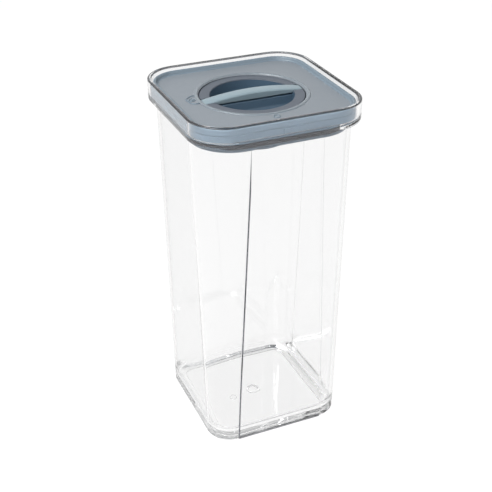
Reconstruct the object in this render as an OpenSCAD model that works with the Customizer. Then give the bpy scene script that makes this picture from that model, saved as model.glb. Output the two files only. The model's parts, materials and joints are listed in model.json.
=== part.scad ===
// Square clear storage canister with a twist-lock airtight lid.
// +Z is up, the origin is the centre of the underside, and the lid is drawn closed and locked.

/* [Canister] */
// Height from the underside to the top of the rim
total_h = 231; // [215:1:260]
// Half width of the rim collar across its flats
collar_half = 55; // [54.6:0.1:58]
// Corner radius of the collar
collar_r = 22.4; // [21:0.2:24]
// Height of the collar
collar_h = 13.2; // [12.8:0.1:14]
// Wall thickness of the collar
collar_wall = 2.6; // [2:0.1:2.8]
// Thickness of the ledge inside the collar that carries the lid
ledge_t = 3; // [2.6:0.1:3.2]
// Half width of the body just under the collar
neck_half = 52; // [51.8:0.1:53]
// Corner radius of the body just under the collar
neck_r = 26.5; // [25:0.5:28]
// Half width of the body at its underside
base_half = 46.5; // [42:0.5:50]
// Corner radius of the body at its underside
base_r = 16; // [14:0.5:20]
// Wall thickness of the body
body_wall = 2.2; // [1.6:0.1:2.3]
// Thickness of the floor
floor_t = 3; // [2:0.5:5]
// Radius of the fillet between floor and walls, inside
floor_fillet = 10; // [4:0.5:11]
// Radius of the rounded edge round the underside
foot_round = 1.6; // [1:0.2:2]

/* [Lid] */
// Depth of the lid's flat top below the rim
plate_drop = 4.5; // [4:0.1:5]
// Depth of the lid's raised lip below the rim
lip_drop = 2; // [1:0.1:3]
// Thickness of the lid's flat top
plate_t = 2.4; // [2:0.1:2.6]
// Thickness of the raised lip
lip_t = 1.3; // [1:0.1:1.6]
// Thickness of the lid's skirt and walls
lid_wall = 1.8; // [1.4:0.1:2]
// Gap between the lid's skirt and the collar
skirt_gap = 0.6; // [0.4:0.1:0.8]
// Depth of the parting line between cover and tray below the rim
parting_drop = 6; // [5.6:0.1:6.2]

/* [Knob] */
// Outer radius of the round knob
knob_r = 32.5; // [31:0.5:33]
// Radius of the two finger pockets' outer wall
pocket_r = 26; // [24:0.5:27]
// Depth of the knob's face below the rim
knob_drop = 5; // [4.6:0.1:5.4]
// Depth of the finger pockets below the knob's face
pocket_depth = 9; // [8.5:0.1:9.2]
// Width of the grip bar across the knob
grip_w = 8.5; // [7:0.5:10]
// Height of the grip bar's crown above the knob's face
grip_crown = 3; // [2:0.2:3.4]
// Depth of the grip bar's lower edge below the knob's face
grip_skirt = 1.5; // [1.2:0.1:1.8]

/* [Cam and press plate] */
// How far the press plate drops when the knob is unlocked
cam_drop = 3; // [2:0.1:3]
// Turn of the knob from locked to unlocked, in degrees
cam_turn = 90; // [60:5:95]
// Number of cam pins and slots
cam_count = 3; // [2:1:3]
// Radius of a cam pin
pin_r = 1.4; // [1:0.1:1.5]
// Height of the silicone seal when it is squeezed
seal_h = 4; // [3.5:0.1:4.2]
// Turns of each return spring
spring_turns = 3; // [2:1:3]

/* [Hidden] */
$fn = 96;
run = 0.05;
loose = 0.1;
slice = 0.01;
over = 1;

// Heights of the canister
collar_z = total_h - collar_h;
ledge_z = collar_z + ledge_t;
hull_fn = 40;

// Heights and sizes of the lid
plate_z = total_h - plate_drop;
lip_z = total_h - lip_drop;
parting_z = total_h - parting_drop;
tray_z = ledge_z + lid_wall;
lid_half = collar_half - collar_wall - skirt_gap;
lid_r = collar_r - collar_wall - skirt_gap / 2;
cover_half = lid_half - 0.2;
cover_wall = lid_wall + 0.4;
plug_half = lid_half - lid_wall - 0.1;
spigot_half = neck_half - body_wall - 0.5;
spigot_r = neck_r - body_wall - 0.3;
spigot_t = 2.8;
spigot_z = ledge_z - 2.4;
cover_screw_at = lid_half - 9.3;
cover_hole_z = plate_z - 0.8;
tray_screw_l = plate_z - 1 - ledge_z;
boss_r = 3;
bead_r = 1.6;
bead_sink = 0.9;
pad_at = knob_r + 5.5;
pad_r = 5;
pad_h = 0.35;

// Heights and sizes of the knob and its well
knob_z = total_h - knob_drop;
pocket_z = knob_z - pocket_depth;
cup_z = pocket_z - 2;
cup_wall = 2;
cup_face_t = 3;
grip_z = knob_z - grip_skirt;
grip_top_z = knob_z + grip_crown;
grip_end_r = knob_r - loose;
grip_arc_r = (grip_end_r * grip_end_r + grip_crown * grip_crown) / (2 * grip_crown);
grip_screw_at = 16;
spine_w = grip_w - 0.6;
spine_z = grip_z - 1;
spine_hole_z = spine_z - 1.2;
well_r = knob_r + 0.5;
well_wall = 2;
glide_t = 0.8;
glide_in_r = knob_r - 3;
glide_out_r = knob_r - 0.2;
well_z = cup_z - glide_t;
well_under_z = well_z - 2;
stop_at = 21.5;
stop_r = 1.5;
stop_slot = stop_r + 0.3;
stop_play = asin(stop_slot / stop_at);
stop_depth = 1.2;
stop_end_z = well_z - 0.9;
stop_start = 270;

// Spindle, pins and sleeve
neck_bore_r = 9;
washer_t = 0.8;
drum_z = well_under_z - washer_t;
drum_r = 12.95;
washer_r = drum_r - 0.2;
sleeve_gap = 0.4;
slot_margin = pin_r + 2.1;
pin_z = well_under_z - sleeve_gap - cam_drop - slot_margin;
pin_in_r = 8.6;
pin_hole_in_r = pin_in_r - 0.2;
pin_hole_r = pin_r + 0.03;
drum_under_z = pin_z - 2.8;
sleeve_in_r = drum_r + loose;
sleeve_out_r = 16;
pin_out_r = sleeve_out_r - 0.3;
sleeve_z = pin_z - slot_margin;
sleeve_top_z = well_under_z - sleeve_gap;
flange_r = 21.5;
flange_t = 2;
slot_half = pin_r + loose;
slot_steps = 15;
slot_play = 1.2 * asin(slot_half / sleeve_in_r);
first_pin = 90;
sleeve_screw_at = 18.8;
sleeve_screw_count = 3;
sleeve_screw_start = 30;
sleeve_screw_l = flange_t + 1.5;
spindle_screw_at = 5;
groove_z = well_z - 1;
groove_h = 1.4;
groove_in_r = neck_bore_r - 1.3;
o_ring_r = 0.6;
o_ring_at = neck_bore_r - 0.65;

// Press plate and seal
seal_top_z = spigot_z;
seal_z = seal_top_z - seal_h;
seal_half = spigot_half + 0.1;
seal_r = spigot_r + 0.1;
seal_t = 3.9;
rib_gap = 1.8;
rib_low_z = seal_z + 0.42 * seal_h;
rib_high_z = seal_z + 0.58 * seal_h;
press_t = 1.6;
press_z = seal_z - press_t;
press_half = spigot_half - 0.4;
press_r = spigot_r - 0.4;
upstand_h = 2.6;
upstand_half = seal_half - seal_t - 0.3;
upstand_r = seal_r - seal_t - 0.3;
press_well_r = well_r + well_wall + 1.2;
press_wall = 1.8;
deck_z = well_under_z - 0.6;
hub_r = 22.5;
hub_z = sleeve_z;
hub_floor_t = 2.5;
hub_hole_z = hub_z - 1.7;
cap_bore_r = 12;
cap_r = 15;
cap_t = 1.6;
cap_spigot_r = cap_bore_r - 1.6;
cap_spigot_z = hub_z - 0.4;
gasket_t = 0.8;
gasket_r = cap_r - 0.3;
gasket_z = hub_z - hub_floor_t;
cap_z = gasket_z - gasket_t;

// Guide posts and return springs
post_at = 20;
post_r = 2;
post_end_z = well_under_z - 3.6;
socket_r = 4;
socket_wall = 1.4;
socket_z = deck_z - 4.7;
spring_r = 3.1;
wire_r = 0.45;
coil_seat = 1.2 * wire_r;
wire_sides = 8;
turn_steps = 18;

// Keys that keep the press plate from turning
key_count = 3;
key_w = 6;
key_in_r = hub_r - 1.9;
key_out_r = hub_r + 0.9;
key_end_z = deck_z - 4.2;
keyway_z = key_end_z - 0.4;

// Screws
screw_r = 1.3;
head_r = 2.5;
head_h = 1.9;
head_bore_r = head_r + 0.3;
head_bore_h = 3.5;
spindle_seat_z = drum_under_z + head_bore_h;
spindle_screw_l = spine_z - 1.5 - spindle_seat_z;
grip_seat_z = cup_z + head_bore_h;
recess_w = 0.7;
recess_l = 2.6;
recess_h = 0.9;

function half_at(z) = base_half + (neck_half - base_half) * z / collar_z;
function corner_at(z) = base_r + (neck_r - base_r) * z / collar_z;
function polar(r, a, z) = [r * cos(a), r * sin(a), z];
function arch_z(x) = grip_top_z - grip_arc_r + sqrt(grip_arc_r * grip_arc_r - x * x);

// Ends of the grip bar's screw holes and screws
grip_hole_z = arch_z(grip_screw_at) - 1;
grip_screw_l = arch_z(grip_screw_at) - 1.3 - grip_seat_z;

// ---- shared shapes ----

// Square with rounded corners, centred
module rounded_square(half, r) {
    square([2 * half, 2 * (half - r)], center = true);
    square([2 * (half - r), 2 * half], center = true);
    for (sx = [-1, 1], sy = [-1, 1]) {
        translate([sx * (half - r), sy * (half - r)]) circle(r);
    }
}

// Rounded-square block between two heights
module block(half, r, z0, z1) {
    translate([0, 0, z0]) linear_extrude(z1 - z0) rounded_square(half, r);
}

// Rounded-square ring of thickness t between two heights
module band(half, r, t, z0, z1) {
    difference() {
        block(half, r, z0, z1);
        block(half - t, r - t, z0 - over, z1 + over);
    }
}

// Round disc between two heights
module disc(r, z0, z1) {
    translate([0, 0, z0]) cylinder(r = r, h = z1 - z0);
}

// Round tube between two heights
module tube(r_in, r_out, z0, z1) {
    difference() {
        disc(r_out, z0, z1);
        disc(r_in, z0 - over, z1 + over);
    }
}

// Places its children at the four points a distance d out along the two axes
module on_axes(d) {
    for (a = [0 : 90 : 270]) {
        rotate([0, 0, a]) translate([d, 0, 0]) children();
    }
}

// Places its children at the four points (+-d, +-d)
module on_corners(d) {
    for (sx = [-1, 1], sy = [-1, 1]) {
        translate([sx * d, sy * d, 0]) children();
    }
}

// Places its children at +-d along X
module on_pair(d) {
    for (sx = [-1, 1]) {
        translate([sx * d, 0, 0]) children();
    }
}

// Pan-head screw: the head's seat is at z = 0, the shank points up and the cross recess faces down
module screw(length) {
    disc(screw_r, 0, length);
    difference() {
        disc(head_r, -head_h, 0);
        for (a = [0, 90]) {
            rotate([0, 0, a]) translate([-recess_l / 2, -recess_w / 2, -head_h - over])
                cube([recess_l, recess_w, over + recess_h]);
        }
    }
}

// Clear body with straight flaring sides, shrunk by inset and rounded at its lower edge
module flared_form(inset, z0, edge) {
    hull() {
        for (a = [0 : 15 : 90]) {
            let (z = z0 + edge * (1 - cos(a)), d = inset + edge * (1 - sin(a)))
                block(half_at(z) - d, corner_at(z) - d, z, z + slice, $fn = hull_fn);
        }
        block(neck_half - inset, neck_r - inset, collar_z - slice, collar_z, $fn = hull_fn);
    }
}

// Helical slot cutter: a rectangle swept through an angle while it climbs
module helical_cutter(r0, r1, half_h, a0, a1, rise, play) {
    span = a1 - a0 + 2 * play;
    points = [for (i = [0 : slot_steps])
        let (t = i / slot_steps, a = a0 - play + span * t, z = rise * (a - a0) / (a1 - a0))
            each [polar(r0, a, z - half_h), polar(r1, a, z - half_h), polar(r1, a, z + half_h),
                polar(r0, a, z + half_h)]];
    last = 4 * slot_steps;
    sides = [for (i = [0 : slot_steps - 1], k = [0 : 3])
        let (n = (k + 1) % 4) each [[4 * i + k, 4 * i + n, 4 * i + 4 + n], [4 * i + k, 4 * i + 4 + n,
            4 * i + 4 + k]]];
    polyhedron(points, concat([[3, 2, 1, 0]], sides, [[last, last + 1, last + 2, last + 3]]));
}

// Compression spring between two heights, standing on its own axis
module coil(z0, z1) {
    steps = spring_turns * turn_steps;
    low = z0 + coil_seat;
    climb = z1 - z0 - 2 * coil_seat;
    points = [for (i = [0 : steps], k = [0 : wire_sides - 1])
        let (b = 360 * k / wire_sides)
            polar(spring_r + wire_r * cos(b), 360 * i / turn_steps,
                low + climb * i / steps + wire_r * sin(b))];
    last = steps * wire_sides;
    sides = [for (i = [0 : steps - 1], k = [0 : wire_sides - 1])
        let (p = i * wire_sides + k, q = i * wire_sides + (k + 1) % wire_sides)
            each [[p, p + wire_sides, q + wire_sides], [p, q + wire_sides, q]]];
    polyhedron(points, concat([[for (k = [0 : wire_sides - 1]) k]], sides,
        [[for (k = [wire_sides - 1 : -1 : 0]) last + k]]));
}

// ---- canister ----

// Clear moulded body with its collar and the ledge that the lid sits on
module container() {
    color("lightcyan") difference() {
        union() {
            flared_form(0, 0, foot_round);
            block(collar_half, collar_r, collar_z, total_h);
        }
        flared_form(body_wall, floor_t, floor_fillet);
        block(neck_half - body_wall, neck_r - body_wall, collar_z - slice, total_h + over);
        block(collar_half - collar_wall, collar_r - collar_wall, ledge_z, total_h + over);
    }
}

// ---- lid ----

// Top moulding: flat top, raised lip, upper skirt and the mouth that the knob turns in
module lid_cover() {
    color("lightslategray") difference() {
        union() {
            block(plug_half, lid_r - lid_wall, plate_z - plate_t, plate_z);
            band(cover_half, lid_r, cover_wall, parting_z, plate_z);
            band(cover_half, lid_r, lip_t, plate_z - slice, lip_z);
            disc(well_r + well_wall, tray_z, plate_z);
            rotate_extrude() translate([well_r + bead_r, plate_z - bead_sink]) circle(bead_r);
            on_axes(cover_screw_at) disc(boss_r, tray_z, plate_z - plate_t + slice);
            translate([-pad_at, 0, 0]) disc(pad_r, plate_z - slice, plate_z + pad_h);
        }
        disc(well_r, tray_z - over, lip_z);
        on_axes(cover_screw_at) disc(screw_r + run, tray_z - over, cover_hole_z);
    }
}

// Lower moulding: lower skirt, deck, spigot above the seal, knob well, guide posts and keys
module lid_tray() {
    color("slategray") difference() {
        union() {
            block(lid_half, lid_r, ledge_z, tray_z);
            band(lid_half, lid_r, lid_wall, ledge_z, parting_z);
            band(spigot_half, spigot_r, spigot_t, spigot_z, ledge_z + slice);
            disc(well_r + well_wall, well_under_z, tray_z);
            on_corners(post_at) disc(post_r, post_end_z, well_under_z + slice);
            keys(key_in_r, key_out_r, key_w, key_end_z, well_under_z + slice);
        }
        disc(well_r, well_z, tray_z + over);
        disc(neck_bore_r, well_under_z - over, well_z + over);
        on_axes(cover_screw_at) disc(screw_r + loose, ledge_z - over, tray_z + over);
        rotate([0, 0, stop_start - stop_play]) rotate_extrude(angle = cam_turn + 2 * stop_play)
            translate([stop_at - stop_slot, well_z - stop_depth]) square([2 * stop_slot, stop_depth + over]);
    }
}

// Four screws that join tray and cover from below
module tray_screws() {
    color("silver") on_axes(cover_screw_at) translate([0, 0, ledge_z]) screw(tray_screw_l);
}

// Blocks spaced evenly round the axis, between two radii and two heights
module keys(r0, r1, w, z0, z1) {
    for (i = [0 : key_count - 1]) {
        rotate([0, 0, first_pin + 360 * i / key_count]) translate([r0, -w / 2, z0])
            cube([r1 - r0, w, z1 - z0]);
    }
}

// Low-friction ring that the knob turns on
module glide_ring() {
    color("whitesmoke") tube(glide_in_r, glide_out_r, well_z, cup_z);
}

// Washer between the spindle's drum and the underside of the well
module thrust_washer() {
    color("whitesmoke") tube(neck_bore_r + loose, washer_r, drum_z, well_under_z);
}

// ---- seal and press plate ----

// Square silicone ring, ribbed round its outside, squeezed between tray and press plate
module seal_ring() {
    color("dimgray") difference() {
        band(seal_half, seal_r, seal_t, seal_z, seal_top_z);
        band(seal_half + over, seal_r + over, rib_gap, rib_low_z, rib_high_z);
    }
}

// Plate that squeezes the seal from below, with a round well, a keyed hub and four spring sockets
module press_plate() {
    color("steelblue") difference() {
        union() {
            block(press_half, press_r, press_z, seal_z);
            band(upstand_half, upstand_r, press_wall, press_z, seal_z + upstand_h);
            disc(press_well_r + press_wall, deck_z - press_wall, seal_z);
            disc(hub_r + press_wall, gasket_z, deck_z);
            on_corners(post_at) disc(socket_r + socket_wall, socket_z - socket_wall, deck_z);
        }
        disc(press_well_r, deck_z, seal_z + over);
        disc(hub_r, hub_z, deck_z + over);
        disc(cap_bore_r, gasket_z - over, hub_z + over);
        on_corners(post_at) disc(socket_r, socket_z, deck_z + over);
        keys(hub_r - over, key_out_r + loose, key_w + 2 * run, keyway_z, deck_z + over);
        sleeve_screw_places() disc(screw_r + run, hub_hole_z, hub_z + over);
    }
}

// Places its children where the cam sleeve is screwed down
module sleeve_screw_places() {
    for (i = [0 : sleeve_screw_count - 1]) {
        rotate([0, 0, sleeve_screw_start + 360 * i / sleeve_screw_count])
            translate([sleeve_screw_at, 0, 0]) children();
    }
}

// Flanged sleeve with one climbing slot for each cam pin
module cam_sleeve() {
    color("gainsboro") difference() {
        union() {
            disc(sleeve_out_r, sleeve_z, sleeve_top_z);
            disc(flange_r, sleeve_z, sleeve_z + flange_t);
        }
        disc(sleeve_in_r, sleeve_z - over, sleeve_top_z + over);
        for (i = [0 : cam_count - 1]) {
            rotate([0, 0, first_pin + 360 * i / cam_count]) translate([0, 0, pin_z])
                helical_cutter(sleeve_in_r - over, sleeve_out_r + over, slot_half, 0, cam_turn, cam_drop,
                    slot_play);
        }
        sleeve_screw_places() disc(screw_r + loose, sleeve_z - over, sleeve_z + flange_t + over);
    }
}

// Three screws that hold the cam sleeve to the hub, driven from above
module sleeve_screws() {
    color("silver") sleeve_screw_places() translate([0, 0, sleeve_z + flange_t]) mirror([0, 0, 1])
        screw(sleeve_screw_l);
}

// Snap-in cap that closes the hub from below
module hub_cap() {
    color("slategray") union() {
        disc(cap_r, cap_z - cap_t, cap_z);
        tube(cap_spigot_r, cap_bore_r - loose, cap_z - slice, cap_spigot_z);
    }
}

// Flat silicone washer under the hub cap's rim
module cap_gasket() {
    color("dimgray") tube(cap_bore_r + loose, gasket_r, cap_z, gasket_z);
}

// Four springs round the guide posts, which push the press plate down
module return_springs() {
    color("silver") on_corners(post_at) coil(socket_z, well_under_z);
}

// ---- knob ----

// Spindle: a neck that passes the well's floor and a drum that carries the cam pins
module spindle() {
    color("gainsboro") difference() {
        union() {
            disc(neck_bore_r - run, drum_z - slice, cup_z);
            disc(drum_r, drum_under_z, drum_z);
        }
        rotate_extrude() translate([groove_in_r, groove_z - groove_h / 2]) square([2, groove_h]);
        on_pair(spindle_screw_at) disc(screw_r + loose, drum_under_z - over, cup_z + over);
        on_pair(spindle_screw_at) disc(head_bore_r, drum_under_z - over, spindle_seat_z);
        cam_places() pin(pin_hole_r, pin_hole_in_r, drum_r + over);
    }
}

// Places its children at each cam pin's angle and height
module cam_places() {
    for (i = [0 : cam_count - 1]) {
        rotate([0, 0, first_pin + 360 * i / cam_count]) translate([0, 0, pin_z]) children();
    }
}

// Pin lying along X between two radii
module pin(r, x0, x1) {
    translate([x0, 0, 0]) rotate([0, 90, 0]) cylinder(r = r, h = x1 - x0);
}

// Three steel pins that follow the sleeve's slots
module cam_pins() {
    color("silver") cam_places() pin(pin_r, pin_in_r, pin_out_r);
}

// Two screws that pull the spindle up against the knob
module spindle_screws() {
    color("silver") on_pair(spindle_screw_at) translate([0, 0, spindle_seat_z]) screw(spindle_screw_l);
}

// Rubber ring in the spindle's groove
module spindle_o_ring() {
    color("dimgray") rotate_extrude() translate([o_ring_at, groove_z]) circle(o_ring_r);
}

// Round knob with two finger pockets either side of a spine, notched at its rim for the grip bar
module knob_cup() {
    color("slategray") difference() {
        union() {
            difference() {
                disc(knob_r, cup_z, knob_z);
                disc(pocket_r, pocket_z, knob_z + over);
                tube(pocket_r + cup_wall, knob_r - cup_wall, cup_z - over, knob_z - cup_face_t);
                translate([-knob_r - over, -grip_w / 2 - loose, grip_z])
                    cube([2 * (knob_r + over), grip_w + 2 * loose, grip_skirt + over]);
            }
            intersection() {
                translate([-knob_r, -spine_w / 2, pocket_z - slice])
                    cube([2 * knob_r, spine_w, spine_z - pocket_z + slice]);
                disc(pocket_r + slice, cup_z, knob_z);
            }
            on_pair(grip_screw_at) disc(boss_r, pocket_z, grip_z);
            rotate([0, 0, stop_start]) translate([stop_at, 0, 0]) disc(stop_r, stop_end_z, cup_z + slice);
        }
        on_pair(spindle_screw_at) disc(screw_r + run, cup_z - over, spine_hole_z);
        on_pair(grip_screw_at) disc(screw_r + loose, cup_z - over, grip_z + over);
        on_pair(grip_screw_at) disc(head_bore_r, cup_z - over, grip_seat_z);
    }
}

// Arched grip bar across the knob, flush with its face at both ends
module knob_grip() {
    color("lightsteelblue") difference() {
        intersection() {
            translate([-knob_r, -grip_w / 2, grip_z]) cube([2 * knob_r, grip_w, grip_crown + grip_skirt]);
            disc(grip_end_r, grip_z - over, grip_top_z + over);
            translate([0, knob_r, grip_top_z - grip_arc_r]) rotate([90, 0, 0])
                cylinder(r = grip_arc_r, h = 2 * knob_r, $fn = 360);
        }
        on_pair(grip_screw_at) disc(screw_r + run, grip_z - over, grip_hole_z);
    }
}

// Two screws that hold the grip bar, driven from inside the cup
module grip_screws() {
    color("silver") on_pair(grip_screw_at) translate([0, 0, grip_seat_z]) screw(grip_screw_l);
}

container();
lid_cover();
lid_tray();
tray_screws();
seal_ring();
press_plate();
cam_sleeve();
sleeve_screws();
hub_cap();
cap_gasket();
return_springs();
glide_ring();
spindle_o_ring();
thrust_washer();
spindle();
cam_pins();
spindle_screws();
knob_cup();
knob_grip();
grip_screws();
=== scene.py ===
"""Looks for a square clear canister with a twist-lock lid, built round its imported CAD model."""

import json
import logging
import math
from collections.abc import Sequence
from dataclasses import dataclass, field, replace
from enum import Enum

import bmesh
import bpy
from mathutils import Matrix, Vector


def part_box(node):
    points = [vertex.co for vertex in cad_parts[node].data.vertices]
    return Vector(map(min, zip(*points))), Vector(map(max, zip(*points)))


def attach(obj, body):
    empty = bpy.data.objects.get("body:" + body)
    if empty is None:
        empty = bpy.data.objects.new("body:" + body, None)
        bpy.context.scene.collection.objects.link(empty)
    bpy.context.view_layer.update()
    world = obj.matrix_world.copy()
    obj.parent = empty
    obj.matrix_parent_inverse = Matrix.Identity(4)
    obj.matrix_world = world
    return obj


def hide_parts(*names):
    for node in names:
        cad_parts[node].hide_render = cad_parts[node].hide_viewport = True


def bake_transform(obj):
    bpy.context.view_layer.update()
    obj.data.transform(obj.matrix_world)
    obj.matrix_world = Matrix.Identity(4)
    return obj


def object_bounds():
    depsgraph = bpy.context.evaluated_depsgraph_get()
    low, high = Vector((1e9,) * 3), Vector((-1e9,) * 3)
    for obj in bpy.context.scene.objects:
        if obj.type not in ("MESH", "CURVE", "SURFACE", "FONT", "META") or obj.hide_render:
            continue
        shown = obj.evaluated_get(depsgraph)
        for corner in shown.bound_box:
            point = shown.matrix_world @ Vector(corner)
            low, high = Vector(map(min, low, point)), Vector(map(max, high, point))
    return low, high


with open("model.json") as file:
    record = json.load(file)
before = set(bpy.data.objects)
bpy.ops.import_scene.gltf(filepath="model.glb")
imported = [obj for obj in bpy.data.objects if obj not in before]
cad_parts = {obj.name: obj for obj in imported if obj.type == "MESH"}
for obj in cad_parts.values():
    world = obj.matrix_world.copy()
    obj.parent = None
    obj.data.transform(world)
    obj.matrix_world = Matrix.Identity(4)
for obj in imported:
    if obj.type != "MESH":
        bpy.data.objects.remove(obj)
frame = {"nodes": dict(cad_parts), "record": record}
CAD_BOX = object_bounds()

log = logging.getLogger("canister")

MM = 0.001
FRONT_FACE = 2

Material = bpy.types.Material
Piece = bpy.types.Object
Socket = bpy.types.NodeSocket
Ring = list[Vector]
Point = tuple[float, float]
Colour = tuple[float, float, float]


class Body(str, Enum):
    """Rigid bodies that pieces ride on."""

    CONTAINER = "container"
    LID = "lid"
    KNOB = "knob"
    PRESS = "press"


class Slot(str, Enum):
    """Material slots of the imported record."""

    SHELL = "clear_shell"
    LID = "lid_plastic"
    INNER = "inner_plastic"
    KNOB = "knob_plastic"
    GRIP = "grip_plastic"
    ACETAL = "acetal"
    SILICONE = "silicone"
    SCREW = "screw_steel"
    SPRING = "spring_steel"


# ---------------------------------------------------------------- node helpers


@dataclass
class Graph:
    """The nodes of a material or a world, with short calls for those that the looks need."""

    owner: bpy.types.ID

    @classmethod
    def fresh(cls, name: str) -> "Graph":
        """Start a material that holds only its output.

        Args:
            name: The material's name.

        Returns:
            The graph of the new material.
        """
        material = bpy.data.materials.new(name)
        material.use_nodes = True
        tree = material.node_tree
        for node in list(tree.nodes):
            if node.type != "OUTPUT_MATERIAL":
                tree.nodes.remove(node)
        return cls(material)

    def add(self, kind: str, **values: object) -> bpy.types.Node:
        """Add a node, and set or link its sockets or set its properties by name.

        Args:
            kind: Blender's node type, such as ShaderNodeTexNoise.
            values: Socket names with underscores for spaces, or property names. A socket given as a
                value is linked.

        Returns:
            The new node.
        """
        node = self.owner.node_tree.nodes.new(kind)
        for key, value in values.items():
            name = key.replace("_", " ")
            if isinstance(value, Socket):
                self.join(value, node.inputs[name])
            elif name in node.inputs:
                node.inputs[name].default_value = value
            else:
                setattr(node, key, value)
        return node

    def join(self, source: Socket, target: Socket) -> None:
        """Link one socket to another."""
        self.owner.node_tree.links.new(source, target)

    def finish(self, **shaders: bpy.types.Node) -> Material:
        """Send shaders to the material's output.

        Args:
            shaders: The shader for each of the output's sockets, such as Surface.

        Returns:
            The finished material.
        """
        output = next(node for node in self.owner.node_tree.nodes if node.type == "OUTPUT_MATERIAL")
        for name, shader in shaders.items():
            self.join(shader.outputs[0], output.inputs[name])
        return self.owner

    def place(self) -> Socket:
        """Object coordinates, which stay with the piece as it moves."""
        return self.add("ShaderNodeTexCoord").outputs["Object"]

    def noise(self, scale: float, detail: float = 3.0, rough: float = 0.5) -> Socket:
        """Noise over the piece.

        Args:
            scale: Blotches per metre, roughly.
            detail: Number of finer layers.
            rough: Weight of the finer layers.

        Returns:
            The noise value, 0 to 1.
        """
        where = self.place()
        node = self.add("ShaderNodeTexNoise", Vector=where, Scale=scale, Detail=detail, Roughness=rough)
        return node.outputs["Fac"]

    def span(self, value: Socket, low: float, high: float) -> Socket:
        """Map a 0 to 1 value onto a range.

        Args:
            value: The value to map.
            low: Result at 0.
            high: Result at 1.

        Returns:
            The mapped value.
        """
        return self.add("ShaderNodeMapRange", Value=value, To_Min=low, To_Max=high).outputs["Result"]

    def blend(self, fac: Socket, one: Colour, two: Colour) -> Socket:
        """Mix two colours by a value.

        Args:
            fac: 0 gives the first colour and 1 the second.
            one: First colour, linear.
            two: Second colour, linear.

        Returns:
            The mixed colour.
        """
        node = self.add("ShaderNodeMix", data_type="RGBA")
        node.inputs[6].default_value = (*one, 1)
        node.inputs[7].default_value = (*two, 1)
        self.join(fac, node.inputs[0])
        return node.outputs[2]

    def grazing(self, start: float) -> Socket:
        """How nearly edge-on the surface is seen.

        Args:
            start: Facing value, 0 to 1, at which the result starts to rise.

        Returns:
            0 up to the start, and 1 where the surface is edge-on.
        """
        facing = self.add("ShaderNodeLayerWeight", Blend=0.5).outputs["Facing"]
        return self.add("ShaderNodeMapRange", Value=facing, From_Min=start).outputs["Result"]

    def bump(self, height: Socket, depth: float, strength: float) -> Socket:
        """Surface relief from a height value.

        Args:
            height: Height, 0 to 1.
            depth: Relief in metres.
            strength: Share of the relief that shows.

        Returns:
            The bumped normal.
        """
        node = self.add("ShaderNodeBump", Strength=strength, Distance=depth, Height=height)
        return node.outputs["Normal"]


def linear(*display: int) -> Colour:
    """Linear colour from display values of 0 to 255.

    Args:
        display: Red, green and blue.

    Returns:
        The colour in linear light.
    """
    shares = [value / 255 for value in display]
    return tuple(s / 12.92 if s <= 0.04045 else ((s + 0.055) / 1.055) ** 2.4 for s in shares)


def shade(colour: Colour, factor: float) -> Colour:
    """A colour made lighter or darker by a factor."""
    return tuple(min(1.0, c * factor) for c in colour)


# ---------------------------------------------------------------- finishes


@dataclass(frozen=True)
class ClearPlastic:
    """Polished clear moulded plastic with very faint flow ripple, and painted shade where it is seen
    edge-on.
    """

    name: str
    tint: Colour
    smoke: Colour = (0.10, 0.11, 0.13)
    density: float = 1.2
    roughness: float = 0.0
    index: float = 1.49
    ripple: float = 0.00002
    ripple_scale: float = 26.0
    ripple_share: float = 0.25
    edge_start: float = 0.62
    edge_shade: float = 0.45

    def make(self) -> Material:
        """Build the material.

        Returns:
            The clear material.
        """
        graph = Graph.fresh(self.name)
        # Painted shade: the tint darkens towards edge_shade as the surface turns edge-on, so silhouettes
        # and grazing faces read darker.
        tint = graph.blend(graph.grazing(self.edge_start), self.tint, shade(self.tint, self.edge_shade))
        flow = graph.bump(graph.noise(self.ripple_scale, 2.0), self.ripple, self.ripple_share)
        shader = graph.add("ShaderNodeBsdfPrincipled", Base_Color=tint, Roughness=self.roughness,
                           IOR=self.index, Transmission_Weight=1.0, Normal=flow)
        depth = graph.add("ShaderNodeVolumeAbsorption", Color=(*self.smoke, 1), Density=self.density)
        return graph.finish(Surface=shader, Volume=depth)


@dataclass(frozen=True)
class MouldedPlastic:
    """Opaque moulded plastic with a spark-eroded grain, uneven gloss and slight colour drift."""

    name: str
    colour: Colour
    roughness: float
    grain: float = 0.00006
    grain_scale: float = 2600.0
    grain_share: float = 0.35
    drift: float = 0.04
    drift_scale: float = 38.0
    uneven: float = 0.06
    uneven_scale: float = 210.0
    index: float = 1.47

    def make(self) -> Material:
        """Build the material.

        Returns:
            The moulded plastic.
        """
        graph = Graph.fresh(self.name)
        patches = graph.noise(self.drift_scale, 4.0, 0.55)
        tone = graph.blend(patches, shade(self.colour, 1 - self.drift), shade(self.colour, 1 + self.drift))
        wear = graph.noise(self.uneven_scale, 5.0, 0.6)
        gloss = graph.span(wear, self.roughness - self.uneven, self.roughness + self.uneven)
        relief = graph.bump(graph.noise(self.grain_scale, 2.0), self.grain, self.grain_share)
        shader = graph.add("ShaderNodeBsdfPrincipled", Base_Color=tone, Roughness=gloss, IOR=self.index,
                           Normal=relief)
        return graph.finish(Surface=shader)


@dataclass(frozen=True)
class Silicone:
    """Soft dark silicone with a dusty, fine-pored surface."""

    name: str
    colour: Colour
    roughness: float = 0.5
    index: float = 1.41
    sheen: float = 0.15
    dust_scale: float = 320.0
    pore_scale: float = 3800.0
    pore_depth: float = 0.00005

    def make(self) -> Material:
        """Build the material.

        Returns:
            The silicone.
        """
        graph = Graph.fresh(self.name)
        dust = graph.noise(self.dust_scale, 6.0, 0.65)
        tone = graph.blend(dust, self.colour, shade(self.colour, 1.35))
        gloss = graph.span(dust, self.roughness - 0.08, self.roughness + 0.12)
        pores = graph.bump(graph.noise(self.pore_scale, 2.0), self.pore_depth, 0.4)
        shader = graph.add("ShaderNodeBsdfPrincipled", Base_Color=tone, Roughness=gloss, IOR=self.index,
                           Sheen_Weight=self.sheen, Normal=pores)
        return graph.finish(Surface=shader)


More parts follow.
